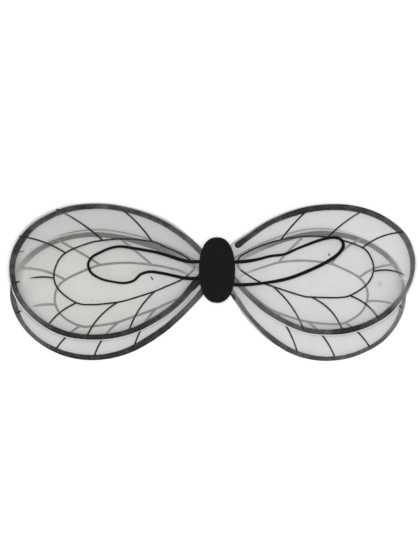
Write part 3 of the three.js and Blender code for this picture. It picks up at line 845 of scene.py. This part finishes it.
# The tip's branch has worn away between these shares of its length, and is pointed there.
TIP_BRANCH = 3
WORN = by_wing((0.58, 0.86), (0.86, 1.01), (0.60, 0.95), (0.80, 1.01))
WORN_TAPER, END_TAPER, SHORTEST = 9, 3, 3
# How thin the glitter of some branches gets between these shares of them, off the band.
FADES = by_wing({1: 0.25}, {1: 0.25, 3: 0.2, 4: 0.25, 5: 0.2, 6: 0.3}, {}, {4: 0.14, 5: 0.14, 6: 0.14})
FADE_BETWEEN, OFF_BAND = (0.4, 0.85), (6.5, 9)
# Branches that cross the band onto the casing, their rise there and how far from its outer side they end.
CROSSING = by_wing((1, 2), (2,), (), ())
CROSSING_RISE, CROSSING_NEAR, CROSSING_SHORT = 0.75, 2.0, 0.8
# Stray glitter: pixels of a mark's start and end, its width against a vein's and the length of its point.
STRAYS = {
    "left_upper": [
        ((151, 276.5), (153, 280), 1, 1.5), ((18.5, 252.3), (25.5, 251.2), 0.6, 5),
        ((91.6, 299.8), (92.6, 300.4), 0.8, 1.5), ((12.6, 284.2), (20.5, 281.2), 2.2, 8),
    ],
    "right_upper": [((328.3, 253.7), (329.3, 255.7), 1.25, 1.5)],
    "left_lower": [((15, 313.7), (21.5, 310.6), 1.6, 6)],
    "right_lower": [((398.5, 304.8), (402.8, 308), 1.3, 1.5), ((231.6, 293.4), (235.6, 299.4), 2.4, 3)],
}
STRAY_HALF, STRAY_START = 0.4, 1.5
VEIN_WIDTH = 2.3
SIDE_THIN, ROOT_THIN = 0.16, 0.45
# Under an upper wing, veins are wider and their glitter is thin, most near the tip. A lower wing's loop
# narrows to its root over a length.
UNDER_BETWEEN = (0, 6)
UNDER_WIDER, UNDER_THIN = by_wing(0, 0, 0.38, 0.30), by_wing(0, 0, 0.32, 0.42)
UNDER_TIP_THIN, UNDER_TIP_OUT = 0.24, (205, 252)
LOOP_TAPER = 18
# Where a loop fades towards its root: distances out and the height on the plan below which it does.
ROOT_FADES = by_wing((38, 43, 12), (31, 35, 13), (40, 54, 50), (40, 54, 50))
# A branch that starts this close to one of the loop's sections doesn't steer the loop.
START_APART = 8
BAND_ACROSS, VEIN_ACROSS = 13, 6
PRINT_SPACING, PRINT_LIFT, LAID_OVER = 0.9, 0.04, 0.12
BAND_TUCK, BAND_TAPER = 0.3, 3
# A strip's pointed ends, its ragged sides and the grain of its top.
POINT_WIDTH, POINT_ROUND, POINT_HIGH = 0.12, 0.6, 0.4
RAGGED, RAGGED_WIDTH, RAGGED_SIZES, RAGGED_LONG = 0.2, 1.5, (1.6, 7.0), 0.8
SIDE_HIGH, UNDERSIDE = 0.25, 0.96
GRAIN, GRAIN_SIZE, FINE_GRAIN, FINE_GRAIN_SIZE = 0.32, 1.1, 0.25, 0.55
# Loose flakes: number on a square millimetre, stray and lift, sizes, tilt and sides.
BAND_FLAKES, VEIN_FLAKES = 0.9, 0.5
FLAKE_STRAY, FLAKE_LIFT = 0.25, 0.05
FLAKE_SIZES, FLAKE_TILT, FLAKE_SIDES = (0.16, 0.34), 0.32, 6
band_material = glitter_look("glitter_band", **BAND_GLITTER)
vein_material = glitter_look("glitter_vein", **VEIN_GLITTER)
flake_material = flake_look()


class Print:
    """Strips of raised glitter on one wing, and their loose flakes."""

    def __init__(self, wing):
        self.wing = wing
        self.points, self.faces, self.materials, self.thin, self.flakes = [], [], [], [], []
        self.count = 0

    def strip(self, run, half, across, band=False, closed=False, taper=(0, 0), thin=0.0, lift=0.0):
        """A raised strip along a run, ragged at its sides. Its ends narrow over the taper's lengths."""
        if closed:
            run = run[:-1]
        count = len(run)
        side = left_normals(run, closed)
        along = travelled(run)
        narrow = np.ones(count)
        for length, distance in zip(taper, (along, along[-1] - along)):
            if length:
                narrow *= POINT_WIDTH + (1 - POINT_WIDTH) * np.clip(distance / length, 0, 1) ** POINT_ROUND
        half = np.broadcast_to(half, count)
        ragged = RAGGED * half / (1 + half / RAGGED_WIDTH)
        short, long = RAGGED_SIZES
        sides = [
            narrow * (half + ragged * (wobble(run, short, seed) + RAGGED_LONG * wobble(run, long, seed + 3)))
            for seed in (1.5, 21.5)
        ]
        rows, thins = [], []
        for a in np.linspace(-1, 1, across):
            plan = run + side * (a * sides[int(a > 0)])[:, None]
            dome = SIDE_HIGH + (1 - SIDE_HIGH) * (1 - abs(a) ** 4)
            grain = 0.5 + GRAIN * wobble(plan, GRAIN_SIZE, seed=6.0)
            grain = grain + FINE_GRAIN * wobble(plan, FINE_GRAIN_SIZE, seed=4.0)
            high = PRINT_HIGH * dome * grain * (POINT_HIGH + (1 - POINT_HIGH) * narrow)
            rows.append(self.wing.on_fabric(plan, PRINT_LIFT + lift + high))
            thins.append(thin + SIDE_THIN * band * abs(a) ** 3 * np.ones(count))
        for a in (UNDERSIDE, -UNDERSIDE):
            rows.append(self.wing.on_fabric(run + side * (a * sides[int(a > 0)])[:, None], PRINT_LIFT))
            thins.append(thin + np.zeros(count))
        points = np.stack(rows, 1)
        faces = tube_faces(count, across + 2, closed, self.count)
        self.count += points.shape[0] * points.shape[1]
        self.points.append(points.reshape(-1, 3))
        self.faces += [face[::-1] for face in faces]
        self.materials += [0 if band else 1] * len(faces)
        self.thin.append(np.stack(thins, 1).ravel())
        density = BAND_FLAKES if band else VEIN_FLAKES
        for _ in range(round(along[-1] * 2 * half.mean() * density)):
            i = rng.integers(count)
            j = rng.integers(1, across - 1)
            self.flakes.append(points[i, j] + [*rng.normal(0, FLAKE_STRAY, 2), FLAKE_LIFT])

    def build(self):
        name, points, floats = self.wing.name, np.vstack(self.points), {"thin": np.concatenate(self.thin)}
        piece = new_piece(
            f"{name}_glitter", points, self.faces, band_material, f"{name}_veins", floats
        )
        piece.data.materials.append(vein_material)
        piece.data.polygons.foreach_set("material_index", self.materials)
        self.add_flakes()

    def add_flakes(self):
        points, faces = [], []
        for centre in self.flakes:
            size = rng.uniform(*FLAKE_SIZES)
            tilt = Vector((*rng.normal(0, FLAKE_TILT, 2), 1)).normalized()
            one = tilt.orthogonal().normalized()
            two = tilt.cross(one)
            spin = rng.uniform(0, math.pi)
            faces.append(tuple(range(len(points), len(points) + FLAKE_SIDES)))
            for k in range(FLAKE_SIDES):
                a = spin + k * 2 * math.pi / FLAKE_SIDES
                points.append(centre + size * (math.cos(a) * np.array(one) + math.sin(a) * np.array(two)))
        new_piece(f"{self.wing.name}_flakes", points, faces, flake_material)


def add_band(made):
    wing = made.wing
    edge = wing.inset(-FILM_TO_RIM - RIM_RADIUS, PRINT_SPACING)
    share = np.linspace(0, 1, len(edge))
    outer, inner, thin = edge_glitter(wing, share)
    outer = np.maximum(outer, 2 * RIM_RADIUS - BAND_TUCK)
    run = edge - wing.side * ((outer + inner) / 2)[:, None] * left_normals(edge)
    kept = share >= BAND_FROM[wing.name]
    half = (inner - outer) / 2
    made.strip(run[kept], half[kept], BAND_ACROSS, True, taper=(BAND_TAPER, BAND_TAPER), thin=thin[kept])


def under_upper(wing, run):
    """0 to 1: whether an upper wing covers a lower one's vein."""
    if wing.upper:
        return np.zeros(len(run))
    return ease(distance_inside(run, WINGS[wing.name.replace("lower", "upper")].ring), *UNDER_BETWEEN)


def vein_half(wing, run):
    return VEIN_WIDTH / 2 * (1 + UNDER_WIDER[wing.name] * under_upper(wing, run))


def vein_thin(wing, run, loop=False):
    """How thin a vein's glitter is, under an upper wing and at a loop's root."""
    out = np.abs(run[:, 0])
    thin = UNDER_THIN[wing.name] + UNDER_TIP_THIN * ease(out, *UNDER_TIP_OUT)
    thin = thin * under_upper(wing, run)
    if loop:
        start, end, highest = ROOT_FADES[wing.name]
        thin += ROOT_THIN * (1 - ease(out, start, end)) * (run[:, 1] < highest)
    return thin


def loop_run(wing):
    """The inner loop, through its sections and the branches that start apart from them."""
    table = PRINTS[wing.name]
    outs = np.array([row[0] for row in table["loop"]])

    def apart(branches):
        return [start for start, _, _ in branches if np.abs(outs - start[0]).min() >= START_APART]

    front = sorted([(out, y) for out, y, _ in table["loop"]] + apart(table["branches"][:TIP_BRANCH]))
    rear = sorted([(out, y) for out, _, y in table["loop"]] + apart(table["branches"][TIP_BRANCH + 1:]))
    places = np.array([table["root"], *front, table["tip"], *rear[::-1]]) * [wing.side, 1]
    return smooth_run(places, PRINT_SPACING, True)


def add_branch(made, number, places):
    """A branch in one piece, or in two with a worn stretch between."""
    wing = made.wing
    crossing = number in CROSSING[wing.name]
    if crossing:
        ahead = (places[-1] - places[-2]) / np.linalg.norm(places[-1] - places[-2])
        to_go = distance_inside(places[-1:], wing.ring)[0] + RIM_RADIUS - CROSSING_SHORT
        across = left_normals(wing.ring)[np.argmin(lengths(wing.ring - places[-1]))]
        places[-1] += ahead * to_go / abs(ahead @ across)
    run = bent_run(*places, PRINT_SPACING)
    inside = distance_inside(run, wing.ring)
    fade = FADES[wing.name].get(number, 0) * ease(np.linspace(0, 1, len(run)), *FADE_BETWEEN)
    thin = vein_thin(wing, run) + fade * ease(inside, *OFF_BAND)
    lift = LAID_OVER + crossing * CROSSING_RISE * bell(inside, 0, CROSSING_NEAR)
    half = vein_half(wing, run)
    start, end = WORN[wing.name] if number == TIP_BRANCH else (1, 1)
    first, last = (round(share * (len(run) - 1)) for share in (start, end))
    pieces = [(slice(first + 1), (0, WORN_TAPER if start < 1 else 0))]
    if last < len(run) - SHORTEST:
        pieces.append((slice(last, None), (END_TAPER, 0)))
    for kept, taper in pieces:
        made.strip(run[kept], half[kept], VEIN_ACROSS, taper=taper, thin=thin[kept], lift=lift[kept])


def add_print(wing):
    made = Print(wing)
    add_band(made)
    loop = loop_run(wing)
    thin = vein_thin(wing, loop, True)
    if wing.upper:
        made.strip(loop, VEIN_WIDTH / 2, VEIN_ACROSS, closed=True, thin=thin[:-1])
    else:
        made.strip(loop, vein_half(wing, loop), VEIN_ACROSS, taper=(LOOP_TAPER, LOOP_TAPER), thin=thin)
    for number, row in enumerate(PRINTS[wing.name]["branches"]):
        places = np.array(row, float) * [wing.side, 1]
        places[0] = loop[np.argmin(lengths(loop - places[0]))]
        add_branch(made, number, places)
    for start, end, width, point in STRAYS[wing.name]:
        run = even_run(np.array([from_pixel(start), from_pixel(end)]), PRINT_SPACING / 2)
        half = width * VEIN_WIDTH * STRAY_HALF
        made.strip(run, half, VEIN_ACROSS, taper=(STRAY_START, point), lift=LAID_OVER)
    made.build()


for each_wing in WINGS.values():
    add_fabric(each_wing, add_rim(each_wing))
    add_print(each_wing)


# Pad: a crowned oval of lumpy felt, with a seam where each pair of wings goes in, a faint fold down its top
# and a flat underside.
PAD_SQUARENESS = 2.3
PAD_AROUND, PAD_TOP_RINGS, PAD_SIDE_RINGS, PAD_BOTTOM_RINGS = 220, 34, 22, 12
PAD_CROWN, PAD_TOP_ROUND, PAD_BOTTOM_ROUND = 1.3, 2.6, 1.2
PAD_LEAST, PAD_TOP_LEAST, PAD_EVEN_FROM = 0.04, 0.03, 0.6
SEAM_HEIGHTS, SEAM_DEPTH, SEAM_HALF = (3.2, 7.4), 0.8, 0.55
FOLD_AT, FOLD_DEPTH, FOLD_HALF = 2.4, 0.3, 1.3
LUMPS = ((0.10, 7), (0.10, 2.2), (0.06, 0.9))
LUMPS_IN, LUMPS_ABOVE = 0.1, 0.3
# Fibres: number, half width, lengths, bend and least height above the floor, and lifts off the felt.
FIBRES, FIBRE_HALF, FIBRE_LENGTHS, FIBRE_BEND, FIBRE_LOWEST = 5200, 0.035, (0.5, 1.6), 0.25, 0.1
FIBRE_SUNK, MIDDLE_LIFTS, END_LIFTS = -0.05, (0.08, 0.3), (0.0, 0.35)


def pad_profile(low, high, half):
    """Rows of the pad from below to above: share of its plan and height."""
    flat = 1 - PAD_BOTTOM_ROUND / half[0]
    profile = [(share, low[2]) for share in np.linspace(PAD_LEAST, 1, PAD_BOTTOM_RINGS)[:-1] * flat]
    side_top = high[2] - PAD_CROWN
    for z in low[2] + (side_top - low[2]) * (1 - np.cos(np.linspace(0, math.pi, PAD_SIDE_RINGS))) / 2:
        inset = PAD_BOTTOM_ROUND * (1 - ease(z, low[2], low[2] + PAD_BOTTOM_ROUND))
        rise = max(0, z - side_top + PAD_TOP_ROUND) / PAD_TOP_ROUND
        inset += PAD_TOP_ROUND * (1 - math.sqrt(max(0, 1 - rise**2)))
        inset += sum(SEAM_DEPTH * bell(z, seam, SEAM_HALF) for seam in SEAM_HEIGHTS)
        profile.append((1 - inset / half[0], z))
    for share in np.linspace(profile[-1][0], PAD_TOP_LEAST, PAD_TOP_RINGS + 1)[1:]:
        profile.append((share, high[2] - PAD_CROWN * share**3))
    return profile


def add_pad():
    low, high = (np.array(corner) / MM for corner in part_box("centre_pad"))
    centre, half = (low + high)[:2] / 2, (high - low)[:2] / 2
    turn = np.linspace(0, 2 * math.pi, PAD_AROUND, endpoint=False)
    oval = np.stack([np.sign(f) * np.abs(f) ** (2 / PAD_SQUARENESS) for f in (np.cos(turn), np.sin(turn))], 1)
    rings = []
    for share, z in pad_profile(low, high, half):
        plan = centre + oval * (half - (1 - share) * half[0] if share > PAD_EVEN_FROM else half * share)
        rings.append(np.column_stack([plan, np.full(PAD_AROUND, z)]))
    shape = np.stack(rings)
    points = shape.reshape(-1, 3)
    along = np.gradient(shape, axis=0)
    round_it = (np.roll(shape, -1, 1) - np.roll(shape, 1, 1)) / 2
    outward = np.cross(round_it, along).reshape(-1, 3)
    outward /= np.maximum(lengths(outward), TINY)[:, None]
    lumps = np.array([sum(depth * noise.noise(Vector(p / size)) for depth, size in LUMPS) for p in points])
    on_top = points[:, 2] > high[2] - PAD_CROWN
    lumps -= FOLD_DEPTH * bell(points[:, 0], FOLD_AT, FOLD_HALF) * on_top
    lumps[points[:, 2] < low[2] + LUMPS_ABOVE] = 0
    points = points + outward * (lumps - LUMPS_IN)[:, None]
    faces = tube_faces(len(rings), PAD_AROUND)
    pad = new_piece("felt_pad", points, faces, felt_look(), "centre_pad")
    above = PAD_AROUND * PAD_BOTTOM_RINGS
    add_fibres(points[above:], outward[above:])


def add_fibres(points, outward):
    made, faces = [], []
    for i in rng.integers(len(points), size=FIBRES):
        up = Vector(outward[i])
        along = Vector(rng.normal(size=3))
        along = (along - up * along.dot(up)).normalized()
        across = up.cross(along) * FIBRE_HALF
        length = rng.uniform(*FIBRE_LENGTHS)
        bend = rng.normal(0, FIBRE_BEND)
        start = Vector(points[i])
        lifts = (FIBRE_SUNK, rng.uniform(*MIDDLE_LIFTS), rng.uniform(*END_LIFTS))
        for step, lift in zip((0, 0.5, 1), lifts):
            middle = start + along * (length * step) + up * lift + across.normalized() * (bend * step**2)
            made += [middle - across, middle + across]
        first = len(made) - 6
        faces += [(first, first + 1, first + 3, first + 2), (first + 2, first + 3, first + 5, first + 4)]
    made = np.array(made)
    made[:, 2] = np.maximum(made[:, 2], FIBRE_LOWEST)
    new_piece("felt_fibres", made, faces, fibre_look())


add_pad()

# Floor, light and sky, in metres.
FLOOR_HALF, FLOOR_Z = 9.0, -0.0002
FLOOR_BRIGHT = 0.97
SKY_BRIGHT = 0.42


def add_floor():
    look = Look("floor", Roughness=0.9, Specular_IOR_Level=0.1)
    look.set("Base Color", look.ramp(look.noise(400, 2.0), (0.3, FLOOR_BRIGHT), (0.7, FLOOR_BRIGHT + 0.01)))
    mesh = bpy.data.meshes.new("floor")
    h, z = FLOOR_HALF, FLOOR_Z
    mesh.from_pydata([(-h, -h, z), (h, -h, z), (h, h, z), (-h, h, z)], [], [(0, 1, 2, 3)])
    mesh.materials.append(look.material)
    add_object("floor", mesh)


def add_light(name, place, size, power):
    light = bpy.data.lights.new(name, "AREA")
    light.size = size
    light.energy = power
    lamp = add_object(name, light)
    lamp.location = place
    lamp.rotation_mode = "QUATERNION"
    lamp.rotation_quaternion = (-Vector(place)).to_track_quat("-Z", "Y")
    lamp.visible_camera = False


add_floor()
add_light("key_light", (-0.05, 0.25, 3.4), size=1.2, power=77)
add_light("fill_light", (1.2, -1.4, 2.6), size=1.8, power=13)
world = bpy.data.worlds.new("sky")
world.use_nodes = True
background = world.node_tree.nodes["Background"].inputs
background["Color"].default_value = (1, 1, 1, 1)
background["Strength"].default_value = SKY_BRIGHT
scene.world = world
scene.view_settings.view_transform = "Standard"
